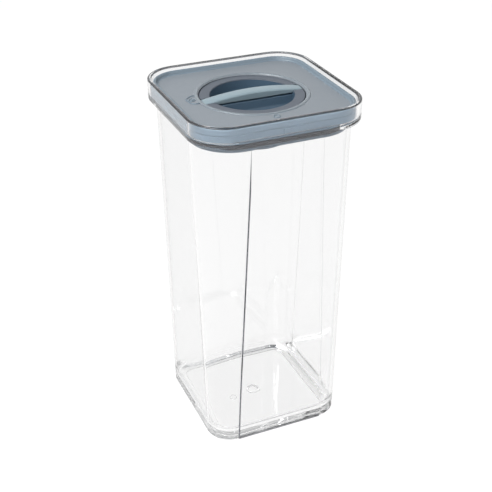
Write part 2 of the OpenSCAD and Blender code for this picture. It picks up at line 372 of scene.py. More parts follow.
@dataclass(frozen=True)
class Steel:
    """Bright steel with fine turning or drawing marks along one axis."""

    name: str
    colour: Colour
    roughness: float
    marks: tuple[float, float, float] = (900.0, 900.0, 9000.0)
    mark_depth: float = 0.00003

    def make(self) -> Material:
        """Build the material.

        Returns:
            The steel.
        """
        graph = Graph.fresh(self.name)
        drawn = graph.add("ShaderNodeMapping", Vector=graph.place(), Scale=self.marks).outputs["Vector"]
        lines = graph.add("ShaderNodeTexNoise", Vector=drawn, Scale=1.0, Detail=3.0).outputs["Fac"]
        tone = graph.blend(lines, shade(self.colour, 0.9), shade(self.colour, 1.08))
        gloss = graph.span(lines, self.roughness - 0.07, self.roughness + 0.09)
        relief = graph.bump(lines, self.mark_depth, 0.3)
        shader = graph.add("ShaderNodeBsdfPrincipled", Base_Color=tone, Metallic=1.0, Roughness=gloss,
                           Normal=relief)
        return graph.finish(Surface=shader)


def made(finish: ClearPlastic | MouldedPlastic | Silicone | Steel) -> Material:
    """A field whose material is made together with the other finishes."""
    return field(default_factory=finish.make)


@dataclass
class Finishes:
    """Every finish of the canister, made once and shared by its pieces; the dark clear tints and the skirt,
    lip and pocket copies are painted light and shade.
    """

    clear: Material = made(ClearPlastic("clear_polished", linear(249, 249, 249)))
    # Painted shade: a dark tint of the clear plastic that stands in for the dark refraction lines on the
    # collar's underside and the front panel's steps.
    edge: Material = made(ClearPlastic("clear_painted_shade_edge", linear(66, 67, 75)))
    # Painted shade: a dark tint of the clear plastic for the rim's rounded edges, its outer half away from
    # the front and the front panel's foot.
    rim: Material = made(ClearPlastic("clear_rim_painted_shade", linear(92, 93, 97)))
    lid: Material = made(MouldedPlastic("lid_satin", linear(120, 127, 134), 0.42))
    # Painted light: a lighter, bluer copy of the lid plastic for the skirt's outer sides, the tray and the
    # grip pad.
    skirt: Material = made(MouldedPlastic("skirt_painted_light_satin", linear(150, 172, 191), 0.4))
    # Painted shade: a darker, bluer copy of the lid plastic for the lip, its cove and the moulded marks.
    lip: Material = made(MouldedPlastic("lip_painted_shade_satin", linear(108, 122, 133), 0.36))
    bead: Material = made(MouldedPlastic("bead_gloss", linear(117, 126, 133), 0.22))
    inner: Material = made(MouldedPlastic("inner_satin", linear(120, 136, 152), 0.45))
    knob: Material = made(MouldedPlastic("knob_satin", linear(70, 78, 89), 0.38))
    # Painted shade: a more saturated blue copy of the knob plastic for the insides of the finger pockets
    # and the spine.
    pocket: Material = made(MouldedPlastic("pocket_painted_shade_gloss", linear(66, 86, 103), 0.36, grain=0.00003))
    grip: Material = made(MouldedPlastic("grip_satin", linear(129, 146, 154), 0.36))
    acetal: Material = made(MouldedPlastic("acetal_white", linear(226, 226, 220), 0.33, drift=0.02))
    silicone: Material = made(Silicone("silicone_grey", linear(72, 75, 82)))
    screw: Material = made(Steel("plated_steel", linear(178, 178, 180), 0.28))
    spring: Material = made(Steel("spring_wire", linear(160, 163, 168), 0.24, (4000.0, 4000.0, 900.0)))


# ---------------------------------------------------------------- mesh helpers


@dataclass(frozen=True)
class Level:
    """One rounded-square level of a moulding, in millimetres."""

    half: float
    corner: float
    height: float
    recess: float = 0.0
    proud: float = 0.0
    panel: float = 0.0

    @property
    def reach(self) -> float:
        """Half length of the flat between two corner arcs."""
        return max(self.half - self.corner, 0.02)


@dataclass(frozen=True)
class Outline:
    """How finely rounded-square levels are drawn, and how wide the step into a flat panel is."""

    arc_steps: int = 12
    panel_steps: int = 4
    step_width: float = 1.3
    steep_width: float = 0.66
    step_points: int = 5

    def side(self, level: Level, face: int) -> list[Point]:
        """Points along one flat side.

        Args:
            level: The level to draw.
            face: Which side: 0 back, 1 left, 2 front, 3 right.

        Returns:
            Pairs of distance along the side and depth below the face, between the arcs' end points.
        """
        raised = face == FRONT_FACE and level.proud > 0
        reach = min(level.panel, level.reach) if raised else level.reach
        drop = -level.proud if raised else level.recess
        wide = self.steep_width * level.proud if raised else self.step_width
        width = min(max(wide, 0.1), 0.3 * reach)
        edge = [(width * k / self.step_points) for k in range(self.step_points + 1)]
        left = [(-reach + x, drop * (x / width if raised else ease(x / width))) for x in edge]
        inner = reach - width
        flat = [(-inner + 2 * inner * k / self.panel_steps, drop) for k in range(1, self.panel_steps)]
        right = [(-x, depth) for x, depth in reversed(left)]
        return left + flat + right

    def ring(self, level: Level) -> Ring:
        """All the points of one level, anticlockwise from the middle of the corner after +X.

        Args:
            level: The level to draw.

        Returns:
            The points, in metres.
        """
        points: Ring = []
        for quarter in range(4):
            turn = math.pi / 2 * quarter
            for step in range(self.arc_steps + 1):
                angle = math.pi / 2 * step / self.arc_steps
                x = level.reach + level.corner * math.cos(angle)
                y = level.reach + level.corner * math.sin(angle)
                points.append(turned(x, y, level.height, turn))
            for along, depth in self.side(level, quarter):
                points.append(turned(-along, level.half - depth, level.height, turn))
        return points

    def circle(self, radius: float, height: float, like: Level) -> Ring:
        """A circle whose points lie at the angles of a rounded-square level's points.

        Args:
            radius: The circle's radius, in millimetres.
            height: Its height, in millimetres.
            like: The level whose angles are used.

        Returns:
            The points, in metres.
        """
        ring = []
        for point in self.ring(like):
            angle = math.atan2(point.y, point.x)
            ring.append(Vector((radius * math.cos(angle), radius * math.sin(angle), height)) * MM)
        return ring


def ease(t: float) -> float:
    """A smooth rise from 0 to 1."""
    t = min(max(t, 0.0), 1.0)
    return t * t * (3 - 2 * t)


def turned(x: float, y: float, z: float, angle: float) -> Vector:
    """A point in millimetres turned about the vertical axis, in metres."""
    c, s = math.cos(angle), math.sin(angle)
    return Vector((x * c - y * s, x * s + y * c, z)) * MM


def arc(x: float, z: float, radius: float, start: float, end: float, steps: int) -> list[Point]:
    """Points on an arc in a section.

    Args:
        x: Centre's distance from the axis.
        z: Centre's height.
        radius: The arc's radius.
        start: First angle, in degrees.
        end: Last angle, in degrees.
        steps: Number of segments.

    Returns:
        The points, both ends included.
    """
    angles = [math.radians(start + (end - start) * k / steps) for k in range(steps + 1)]
    return [(x + radius * math.cos(a), z + radius * math.sin(a)) for a in angles]


def skin(name: str, rings: Sequence[Ring], closed: bool = False) -> Piece:
    """Join rings of equal length into one closed mesh.

    Args:
        name: The piece's name.
        rings: The rings in order; without closed, the first and last are filled.
        closed: Join the last ring to the first instead of filling both.

    Returns:
        The new object, smooth shaded.
    """
    mesh = bmesh.new()
    rows = [[mesh.verts.new(p) for p in ring] for ring in rings]
    pairs = list(zip(rows, rows[1:])) + ([(rows[-1], rows[0])] if closed else [])
    for low, high in pairs:
        count = len(low)
        for i in range(count):
            n = (i + 1) % count
            mesh.faces.new((low[i], low[n], high[n], high[i]))
    if not closed:
        for row in (rows[0], rows[-1]):
            centre = mesh.verts.new(sum((v.co for v in row), Vector()) / len(row))
            for i, vert in enumerate(row):
                mesh.faces.new((centre, vert, row[(i + 1) % len(row)]))
    return finish_mesh(name, mesh)


def link_mesh(name: str, mesh: bmesh.types.BMesh) -> Piece:
    """Turn a mesh into a smooth object of the scene.

    Args:
        name: The piece's name.
        mesh: The mesh, which is freed.

    Returns:
        The new object.
    """
    data = bpy.data.meshes.new(name)
    mesh.to_mesh(data)
    mesh.free()
    data.shade_smooth()
    piece = bpy.data.objects.new(name, data)
    bpy.context.scene.collection.objects.link(piece)
    return piece


def finish_mesh(name: str, mesh: bmesh.types.BMesh) -> Piece:
    """Weld a mesh, face it outwards and link it.

    Args:
        name: The piece's name.
        mesh: The mesh, which is freed.

    Returns:
        The new object.
    """
    bmesh.ops.remove_doubles(mesh, verts=mesh.verts, dist=1e-7)
    bmesh.ops.dissolve_degenerate(mesh, dist=1e-7, edges=mesh.edges)
    bmesh.ops.recalc_face_normals(mesh, faces=mesh.faces)
    return link_mesh(name, mesh)


def lathe(name: str, profile: Sequence[Point], steps: int = 128) -> Piece:
    """Turn a closed section about the vertical axis.

    Args:
        name: The piece's name.
        profile: Radius and height of each point, in millimetres.
        steps: Segments round the axis.

    Returns:
        The turned piece.
    """
    rings = []
    for radius, height in profile:
        angles = [2 * math.pi * k / steps for k in range(steps)]
        rings.append([turned(max(radius, 1e-3), 0, height, a) for a in angles])
    inner, outer = profile[0][0], profile[-1][0]
    return skin(name, rings, closed=min(inner, outer) > 0.01)


def merge(name: str, pieces: Sequence[Piece]) -> Piece:
    """Join several objects into one mesh of separate closed shells.

    Args:
        name: Name of the joined piece.
        pieces: The objects, which are removed.

    Returns:
        The joined piece.
    """
    mesh = bmesh.new()
    for piece in pieces:
        mesh.from_mesh(piece.data)
        bpy.data.objects.remove(piece)
    return link_mesh(name, mesh)


def cut(piece: Piece, cutter: Piece) -> None:
    """Cut one mesh out of another for good.

    Args:
        piece: The mesh to cut.
        cutter: The mesh to take away, which is removed.
    """
    tool = piece.modifiers.new("cut", "BOOLEAN")
    tool.operation = "DIFFERENCE"
    tool.solver = "EXACT"
    tool.object = cutter
    settle(piece)
    bpy.data.objects.remove(cutter)


def settle(piece: Piece) -> None:
    """Apply every modifier of a piece to its mesh."""
    graph = bpy.context.evaluated_depsgraph_get()
    data = bpy.data.meshes.new_from_object(piece.evaluated_get(graph))
    piece.modifiers.clear()
    piece.data = data


def even_flats(piece: Piece, weight: int = 80) -> None:
    """Shade the flats of a piece flat between its rounded edges, for good.

    Args:
        piece: The piece.
        weight: How strongly the larger faces lead.
    """
    flats = piece.modifiers.new("flats", "WEIGHTED_NORMAL")
    flats.weight = weight
    settle(piece)


def ridge(name: str, path: Sequence[Point], base: float, width: float, rise: float,
          closed: bool = False) -> Piece:
    """Sweep a low rounded ridge along a path on a flat top.

    Args:
        name: The ridge's name.
        path: Points across the flat, in millimetres.
        base: Height of the flat.
        width: Width of the ridge.
        rise: Height of the ridge above the flat.
        closed: Whether the path is a loop.

    Returns:
        The ridge.
    """
    section = [(-0.5, -0.3), (-0.5, 0.0), (-0.36, 0.7), (0.0, 1.0), (0.36, 0.7), (0.5, 0.0), (0.5, -0.3)]
    rings = []
    count = len(path)
    for k, (x, y) in enumerate(path):
        before = path[k - 1] if k or closed else path[k]
        after = path[(k + 1) % count] if k < count - 1 or closed else path[k]
        along = Vector((after[0] - before[0], after[1] - before[1])).normalized()
        side = Vector((-along.y, along.x))
        rings.append([Vector((x + side.x * a * width, y + side.y * a * width, base + b * rise)) * MM
                      for a, b in section])
    return skin(name, rings, closed=closed)


def slab(name: str, low: Sequence[float], high: Sequence[float]) -> Piece:
    """A plain block between two corners, used as a cutter.

    Args:
        name: The block's name.
        low: Lowest corner, in millimetres.
        high: Highest corner, in millimetres.

    Returns:
        The block.
    """
    mesh = bmesh.new()
    bmesh.ops.create_cube(mesh, size=1.0)
    for vert in mesh.verts:
        share = vert.co + Vector((0.5, 0.5, 0.5))
        vert.co = Vector([(a + (b - a) * s) * MM for a, b, s in zip(low, high, share)])
    return finish_mesh(name, mesh)


def soften(piece: Piece, width: float, angle: float = 32.0, segments: int = 2) -> None:
    """Round the edges of a piece and keep its flats flat.

    Args:
        piece: The piece.
        width: Width of the rounding, in millimetres.
        angle: Only edges sharper than this are rounded, in degrees.
        segments: Segments across the rounding.
    """
    weld = piece.modifiers.new("weld", "WELD")
    weld.merge_threshold = 1e-6
    bevel = piece.modifiers.new("edges", "BEVEL")
    bevel.width = width * MM
    bevel.segments = segments
    bevel.limit_method = "ANGLE"
    bevel.angle_limit = math.radians(angle)
    bevel.use_clamp_overlap = True
    flats = piece.modifiers.new("flats", "WEIGHTED_NORMAL")
    flats.keep_sharp = True


def dress(piece: Piece, *materials: Material) -> None:
    """Give a piece these materials in place of what it has."""
    piece.data.materials.clear()
    for material in materials:
        piece.data.materials.append(material)


def place(piece: Piece, body: Body, slot: Slot, *nodes: str) -> None:
    """Ride a piece on its body and stand it for its CAD nodes.

    Args:
        piece: The new piece.
        body: The body that it moves with.
        slot: The record's material slot; not used.
        nodes: CAD nodes that it replaces.
    """
    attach(piece, body.value)
    if nodes:
        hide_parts(*nodes)
    log.info("%s rides on %s, %d faces", piece.name, body.value, len(piece.data.polygons))


# ---------------------------------------------------------------- container


@dataclass
class Container:
    """Clear body: flaring walls with flat panels, a collar with a ledge, and a filleted floor."""

    total: float = field(default_factory=lambda: CAD_BOX[1].z / MM)
    collar_half: float = field(default_factory=lambda: CAD_BOX[1].x / MM)
    collar_corner: float = 22.4
    collar_height: float = 13.2
    collar_wall: float = 2.6
    collar_round: float = 0.9
    ledge: float = 3.0
    ledge_round: float = 0.5
    neck_half: float = 52.0
    neck_corner: float = 26.5
    neck_round: float = 1.0
    base_half: float = 46.5
    base_corner: float = 16.0
    wall: float = 2.2
    floor: float = 3.0
    fillet: float = 10.0
    foot_round: float = 1.6
    rim_round: float = 0.8
    # Width along the front where the rim's painted shade is left off, as light catches the front edge.
    rim_front: float = 6.0
    floor_mark: Point = (-17.0, -6.1)
    mark_radius: float = 2.4
    panel_depth: float = 0.07
    panel_low: float = 31.0
    panel_high: float = 23.1
    panel_foot: float = 2.4
    panel_chamfer: float = 1.0
    proud: float = 0.95
    proud_end: float = 0.6
    proud_fade: float = 16.0
    panel_start: float = 3.6
    panel_fade: float = 2.0
    panel_end: float = 3.2
    outline: Outline = Outline(arc_steps=28)

    @property
    def collar_base(self) -> float:
        """Height of the collar's underside."""
        return self.total - self.collar_height

    @property
    def ledge_top(self) -> float:
        """Height of the ledge that the lid sits on."""
        return self.collar_base + self.ledge

    def wall_level(self, height: float, inset: float, recess: float = 0.0) -> Level:
        """A level of the flaring body.

        Args:
            height: Height of the level.
            inset: Distance inside the outer face.
            recess: Depth of the flat panels.

        Returns:
            The level.
        """
        share = height / self.collar_base
        half = self.base_half + (self.neck_half - self.base_half) * share
        corner = self.base_corner + (self.neck_corner - self.base_corner) * share
        return Level(half - inset, corner - inset, height, recess)

    def face_level(self, height: float, inset: float, recess: float) -> Level:
        """A level of the outer face, with the front panel standing proud down to its sharp lower edge.

        Args:
            height: Height of the level.
            inset: Distance inside the outer face, away from the front panel.
            recess: Depth of the other three panels.

        Returns:
            The level.
        """
        share = height / self.collar_base
        fade = ease((self.collar_base - self.proud_end - height) / self.proud_fade)
        panel = self.panel_low + (self.panel_high - self.panel_low) * share
        chamfer = max(0.0, self.panel_chamfer - height)
        level = self.wall_level(height, inset, recess)
        return replace(level, proud=self.proud * fade + inset - chamfer, panel=panel)

    def outside(self) -> list[Ring]:
        """Rings from the underside's middle up to the neck."""
        ring, circle = self.outline.ring, self.outline.circle
        foot = self.wall_level(0.0, self.foot_round)
        dimple = [(0.6, 2.25), (1.4, 2.2), (2.2, 2.0), (2.9, 1.5), (3.3, 0.95), (3.5, 0.55), (3.9, 0.45)]
        dimple += [(4.2, 0.25), (4.8, 0.25), (5.1, 0.5), (6.4, 0.5)]
        rings = [circle(radius, z, foot) for radius, z in dimple]
        under = [(9.6, 0.5), (9.0, 0.5), (8.6, 0.35), (8.3, 0.0), (7.9, 0.0)]
        rings += [ring(self.wall_level(z, inset)) for inset, z in under]
        for inset, z in arc(0, self.foot_round, self.foot_round, 270, 360, 5):
            rings.append(ring(self.face_level(z, self.foot_round - inset, 0.0)))
        low = self.panel_start + self.panel_fade
        top = self.collar_base - self.panel_end
        rises = [(self.panel_start - 0.5, 0.0)]
        rises += [(self.panel_start + self.panel_fade * k / 5, ease(k / 5)) for k in range(6)]
        rises += [(low + (top - low) * k / 8, 1.0) for k in range(1, 9)]
        rises += [(top + 2.0 * k / 4, 1 - ease(k / 4)) for k in range(1, 5)]
        return rings + [ring(self.face_level(z, 0.0, self.panel_depth * share)) for z, share in rises]

    def collar(self) -> list[Ring]:
        """Rings from the neck's outside over the rim and down to the ledge."""
        half, base, top = self.collar_half, self.collar_base, self.total
        neck, bend, edge, step = self.neck_round, self.collar_round, self.rim_round, self.ledge_round
        inner = half - self.collar_wall
        section = [(self.neck_half + neck + x, z) for x, z in arc(0, base - neck, neck, 180, 90, 4)]
        section += [(half - bend + x, z) for x, z in arc(0, base + bend, bend, 270, 360, 4)]
        section += [(half - edge + x, z) for x, z in arc(0, top - edge, edge, 0, 90, 5)]
        section += [(half - self.collar_wall / 2, top)]
        section += [(inner + edge + x, z) for x, z in arc(0, top - edge, edge, 90, 180, 5)]
        section += [(inner, self.ledge_top + 1.2)]
        section += [(inner - step + x, z) for x, z in arc(0, self.ledge_top + step, step, 0, -90, 3)]
        return [self.outline.ring(self.collar_level(x, z)) for x, z in section]

    def collar_level(self, half: float, height: float) -> Level:
        """A level between neck and collar, whose corner follows its half width.

        Args:
            half: Half width of the level.
            height: Height of the level.

        Returns:
            The level.
        """
        inner = self.neck_half
        if half >= self.collar_half - 1.0 or height > self.ledge_top - 0.1:
            return Level(half, self.collar_corner - (self.collar_half - half), height)
        share = (half - inner) / (self.collar_half - inner)
        corner = self.neck_corner + (self.collar_corner - self.neck_corner) * share
        return Level(half, corner, height)

    def inside(self) -> list[Ring]:
        """Rings from the ledge down the inner walls to the middle of the floor."""
        ring, step = self.outline.ring, self.ledge_round
        mouth = self.neck_half - self.wall
        corner = self.neck_corner - self.wall
        bend = arc(mouth + step, self.ledge_top - step, step, 90, 180, 3)
        rings = [ring(Level(x, corner + x - mouth, z)) for x, z in bend]
        rings.append(ring(Level(mouth, corner, self.collar_base + 0.2)))
        steps = 8
        low, high = self.floor + self.fillet, self.collar_base - 0.4
        for k in range(steps + 1):
            rings.append(ring(self.wall_level(high - (high - low) * k / steps, self.wall)))
        for x, z in arc(0, low, self.fillet, 0, -90, 8)[1:]:
            rings.append(ring(self.wall_level(z, self.wall + self.fillet - x)))
        like = self.wall_level(0, self.wall)
        return rings + [self.outline.circle(radius, self.floor, like) for radius in (6.4, 3.2, 0.6)]

    def build(self, finishes: Finishes) -> None:
        """Make the clear body and the ring on its floor.

        Args:
            finishes: The canister's finishes.
        """
        body = skin("clear_container", self.outside() + self.collar() + self.inside())
        even_flats(body)
        dress(body, finishes.clear, finishes.edge, finishes.rim)
        # Each face takes the clear tint or one of the two dark tints of painted shade.
        for face in body.data.polygons:
            face.material_index = self.finish_index(face)
        place(body, Body.CONTAINER, Slot.SHELL, "container")
        loop = arc(*self.floor_mark, self.mark_radius, 0, 345, 23)
        mark = ridge("floor_mark", loop, self.floor + 0.09, 0.7, 0.22, closed=True)
        dress(mark, finishes.clear)
        place(mark, Body.CONTAINER, Slot.SHELL)

    def finish_index(self, face: bpy.types.MeshPolygon) -> int:
        """Choose the finish of a face: clear wall, or a dark tint of painted shade on the edges or the rim.

        Args:
            face: A face of the clear body.

        Returns:
            0 for a clear wall, 1 for the dark edge tint of painted shade on the collar's underside and the
            front panel's steps, 2 for the dark rim tint of painted shade on the rim's rounded edges, on its
            outer half away from the front and on the front panel's foot.
        """
        at, normal = face.center / MM, face.normal
        # Painted shade on the rim: its rounded edges, and its outer half except along the front, take the
        # dark rim tint.
        if at.z > self.total - self.rim_round:
            reach = self.collar_half - self.collar_corner
            spread = math.hypot(max(abs(at.x) - reach, 0.0), max(abs(at.y) - reach, 0.0))
            behind = at.y > self.rim_front - self.collar_half
            outer = spread > self.collar_corner - self.collar_wall / 2 and behind
            return 2 if outer or abs(normal.z) < 0.93 else 0
        # Painted shade: the collar's underside and the front panel's steep steps take the dark edge tint,
        # and the front panel's foot takes the dark rim tint.
        outside = max(abs(at.x), abs(at.y)) > self.neck_half + 0.6
        if outside and abs(at.z - self.collar_base) < 0.8 and normal.z < -0.3:
            return 1
        beside = abs(at.x) < self.panel_low + 0.6 and at.y < -self.base_half + self.foot_round
        steep = abs(normal.x) > 0.6 and at.z < self.collar_base
        foot = at.z < self.panel_foot and at.y < -self.base_half - 0.1
        if beside and foot and not steep:
            return 2
        return int(beside and steep)


# ---------------------------------------------------------------- lid


@dataclass
class LidTop:
    """Flat top with its raised lip, upper skirt, ring round the knob and two moulded marks."""

    plate: float = field(default_factory=lambda: CAD_BOX[1].z / MM - 4.5)
    lip_rise: float = 2.5
    half: float = field(default_factory=lambda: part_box("lid_cover")[1].x / MM)
    corner: float = 19.5
    bottom: float = field(default_factory=lambda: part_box("lid_cover")[0].z / MM)
    parting: float = field(default_factory=lambda: CAD_BOX[1].z / MM - 6.0)
    mouth: float = 33.0
    mouth_wall: float = 2.0
    wall: float = 1.8
    plate_wall: float = 2.4
    flat_end: float = 44.0
    locked_mark: Point = (-37.9, 3.7)
    open_mark: Point = (-1.6, -39.6)
    mark_radius: float = 1.9
    outline: Outline = Outline(arc_steps=14, panel_steps=8)

    def level(self, half: float, height: float) -> Level:
        """A level of the lid with its corner arcs concentric with the skirt's."""
        return Level(half, self.corner - (self.half - half), height)

    def build(self, finishes: Finishes) -> None:
        """Make the cover.

        Args:
            finishes: The canister's finishes.
        """
        plate, lip = self.plate, self.plate + self.lip_rise
        like = self.level(self.half, plate)
        well = [(self.mouth, self.bottom), (self.mouth, plate - 0.5)]
        well += arc(self.mouth + 0.4, plate - 0.4, 0.4, 180, 90, 3)
        bead = [(0.5, 0.0), (0.55, 0.3), (0.85, 0.55), (1.6, 0.62)]
        bead += [(2.35, 0.55), (2.65, 0.3), (2.7, 0.0), (3.4, 0.0)]
        well += [(self.mouth + x, plate + z) for x, z in bead]
        skirt = [(self.flat_end, plate), (47.4, plate)] + arc(47.9, plate + 1.5, 1.5, 270, 350, 5)
        skirt += arc(50.6, lip - 0.95, 0.95, 160, 0, 7)
        seam = [(0.0, 0.6), (0.12, 0.45), (0.12, 0.15), (0.0, 0.03), (-self.wall, 0.03)]
        skirt += [(self.half + x, self.parting + z) for x, z in seam]
        skirt += [(self.half - self.wall, plate - self.plate_wall)]
        tube = [(self.mouth + self.mouth_wall, z) for z in (plate - self.plate_wall, self.bottom)]
        rings = [self.outline.circle(radius, z, like) for radius, z in well]
        rings += [self.outline.ring(self.level(x, z)) for x, z in skirt]
        rings += [self.outline.circle(radius, z, like) for radius, z in tube]
        cover = skin("cover", rings, closed=True)
        even_flats(cover)
        dress(cover, finishes.lid, finishes.skirt, finishes.lip, finishes.bead)
        # Faces take the lid plastic, the ring's glossier finish, or the skirt and lip copies of painted
        # light and shade.
        for face in cover.data.polygons:
            face.material_index = self.finish_index(face)
        place(cover, Body.LID, Slot.LID, "lid_cover")
        self.marks(finishes)

    def finish_index(self, face: bpy.types.MeshPolygon) -> int:
        """Choose the finish of a face of the cover.

        Args:
            face: A face of the cover.

        Returns:
            0 for the flat top, 1 for the skirt's outward faces in the lighter copy of painted light, 2 for
            the lip in the darker copy of painted shade, 3 for the ring round the knob.
        """
        at, normal = face.center / MM, face.normal
        spread = at.xy.length
        # Painted light: the skirt's outward faces take the lighter skirt copy.
        if spread > self.flat_end and normal.xy.dot(at.xy) > 0 and abs(normal.z) < 0.7:
            return 1
        # Painted shade: the lip and its cove take the darker lip copy.
        if spread > self.flat_end and at.z > self.plate + 0.1:
            return 2
        return 3 if 0.45 < spread - self.mouth < 2.75 and at.z > self.plate + 0.02 else 0

    def marks(self, finishes: Finishes) -> None:
        """Make the pointed tab on the ring, the locked and unlocked marks and the skirt's grip pad.

        Args:
            finishes: The canister's finishes.
        """
        plate = self.plate
        tab = [(-33.9, 9.2), (-36.0, 9.9), (-37.6, 9.1), (-40.5, 6.5), (-41.2, 5.2), (-41.0, 3.8)]
        tab += [(-40.2, -1.2), (-39.3, -2.5), (-37.6, -3.0), (-35.6, -3.1)]
        pieces = [ridge("tab", tab, plate, 0.8, 0.6)]
        for spot in (self.locked_mark, self.open_mark):
            loop = arc(*spot, self.mark_radius, 0, 345, 23)
            pieces.append(ridge("ring", loop, plate, 0.6, 0.45, closed=True))
        dome = [(0.0, -0.1), (0.8, -0.1), (0.75, 0.15), (0.45, 0.3), (0.0, 0.34)]
        dot = lathe("dot", [(radius, plate + rise) for radius, rise in dome], 24)
        dot.data.transform(shift_matrix(*self.locked_mark, 0.0))
        marks = merge("lid_marks", pieces + [dot])
        # Painted shade: the marks take the lip's darker copy so that their relief reads.
        dress(marks, finishes.lip)
        place(marks, Body.LID, Slot.LID)
        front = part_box("lid_tray")[0].y / MM
        low, high = (-3.4, front - 0.4, self.parting - 3.7), (9.3, front + 0.3, self.parting - 0.5)
        pad = slab("skirt_pad", low, high)
        soften(pad, 0.12, 30.0)
        settle(pad)
        # Painted light: the pad takes the skirt's lighter copy of the lid plastic.
        dress(pad, finishes.skirt)
        place(pad, Body.LID, Slot.LID)


@dataclass
class Knob:
    """Round dial with two finger pockets, the spine between them and the arched grip bar on top."""

    face: float = field(default_factory=lambda: CAD_BOX[1].z / MM - 5.0)
    radius: float = 32.5
    pocket: float = 26.0
    depth: float = 9.0
    underside: float = field(default_factory=lambda: CAD_BOX[1].z / MM - 16.0)
    bar_width: float = 8.5
    bar_crown: float = 3.0
    bar_skirt: float = 1.5
    notch_gap: float = 0.12

    def dial(self, finishes: Finishes) -> None:
        """Make the dial with its pockets.

        Args:
            finishes: The canister's finishes.
        """
        face, floor = self.face, self.face - self.depth
        profile = [(0.0, self.underside), (self.radius - 0.4, self.underside)]
        profile += [(self.radius, self.underside + 0.4), (self.radius, face - 0.8)]
        profile += arc(self.radius - 0.5, face - 0.5, 0.5, 0, 90, 4)
        profile += [(self.radius - 1.2, face), (self.pocket + 1.3, face)]
        profile += arc(self.pocket + 0.6, face - 0.6, 0.6, 90, 180, 5)
        profile += [(self.pocket - 0.15, face - 2.0), (self.pocket - 0.5, floor + 4.4)]
        profile += arc(self.pocket - 4.5, floor + 4.0, 4.0, 0, -90, 8)
        profile += [(self.pocket - 6.5, floor), (8.0, floor), (0.0, floor)]
        dial = lathe("dial", profile, 160)
        edge = self.bar_width / 2 + self.notch_gap
        low = [-self.radius - 1, -edge, face - self.bar_skirt]
        cut(dial, slab("notch", low, [self.radius + 1, edge, face + 2]))
        soften(dial, 0.15, 40.0)
        settle(dial)
        whole = merge("knob_dial", [dial, self.spine(), self.stop()])
        dress(whole, finishes.knob, finishes.pocket)
        # Painted shade: faces inside the pockets, below the dial's face, take the pocket copy of the knob
        # plastic.
        for face in whole.data.polygons:
            at = face.center / MM
            inside = math.hypot(at.x, at.y) < self.pocket + 0.4 and at.z > self.underside + 0.6
            face.material_index = int(inside and at.z < self.face - 1.1)
        place(whole, Body.KNOB, Slot.KNOB, "knob_cup")

    def spine(self) -> Piece:
        """Make the spine between the pockets, flared at its foot."""
        top = self.face - self.bar_skirt - 1.0
        floor = self.face - self.depth
        flare = [(3.0, -0.5), (7.2, -0.3), (6.2, 0.1), (5.3, 0.8), (4.8, 2.0)]
        side = [(y, floor + rise) for y, rise in flare]
        side += [(4.5, top - 0.6)] + arc(4.0, top - 0.45, 0.45, 0, 90, 4)
        section = side + [(-y, z) for y, z in reversed(side)]
        rings = []
        for share in (-1.0, -0.92, -0.5, 0.0, 0.5, 0.92, 1.0):
            rings.append([Vector((share * (self.pocket + 0.6), y, z)) * MM for y, z in section])
        return skin("spine", rings)

    def stop(self) -> Piece:
        """Make the lug below the dial that ends its turn."""
        low, high = self.underside - 1.7, self.underside + 0.2
        profile = [(0.0, low), (1.2, low), (1.5, low + 0.3), (1.5, high), (0.0, high)]
        lug = lathe("lug", profile, 32)
        lug.data.transform(shift_matrix(0.0, -21.5, 0.0))
        return lug

    def bar(self, finishes: Finishes) -> None:
        """Make the arched grip bar, cut round at its ends.

        Args:
            finishes: The canister's finishes.
        """
        reach = self.radius - 0.1
        sweep = (reach * reach + self.bar_crown**2) / (2 * self.bar_crown)
        half = self.bar_width / 2
        low = self.face - self.bar_skirt
        rings = []
        steps = 40
        for k in range(steps + 1):
            share = math.sin(math.pi / 2 * (-1 + 2 * k / steps))
            arch = math.sqrt(sweep**2 - (share * reach) ** 2) - sweep + self.bar_crown
            top = self.face + arch
            blunt = 0.35 if abs(share) > 0.9995 else 0.0
            section = self.bar_section(half - blunt, low + blunt, top - blunt)
            rings.append([Vector((share * math.sqrt(reach**2 - y * y), y, z)) * MM for y, z in section])
        bar = skin("grip_bar", rings)
        even_flats(bar, 60)
        dress(bar, finishes.grip)
        place(bar, Body.KNOB, Slot.GRIP, "knob_grip")

    def bar_section(self, half: float, low: float, top: float) -> list[Point]:
        """Section of the grip bar: small radii below, fuller ones above and a slight crown.

        Args:
            half: Half width.
            low: Height of the lower edge.
            top: Height of the crown.

        Returns:
            Points across the bar and up, anticlockwise.
        """
        small, full = 0.3, min(1.1, 0.6 * (top - low))
        points = arc(half - small, low + small, small, -90, 0, 3)
        points += arc(half - full, top - 0.2 - full, full, 0, 80, 5)
        points += [(half * 0.4, top - 0.04), (0.0, top), (-half * 0.4, top - 0.04)]
        points += arc(-half + full, top - 0.2 - full, full, 100, 180, 5)
        return points + arc(-half + small, low + small, small, 180, 270, 3)

    def build(self, finishes: Finishes) -> None:
        """Make the dial and the bar."""
        self.dial(finishes)
        self.bar(finishes)


def shift_matrix(x: float, y: float, z: float) -> Matrix:
    """A shift in millimetres as a matrix."""
    return Matrix.Translation(Vector((x, y, z)) * MM)


# ---------------------------------------------------------------- seal and springs


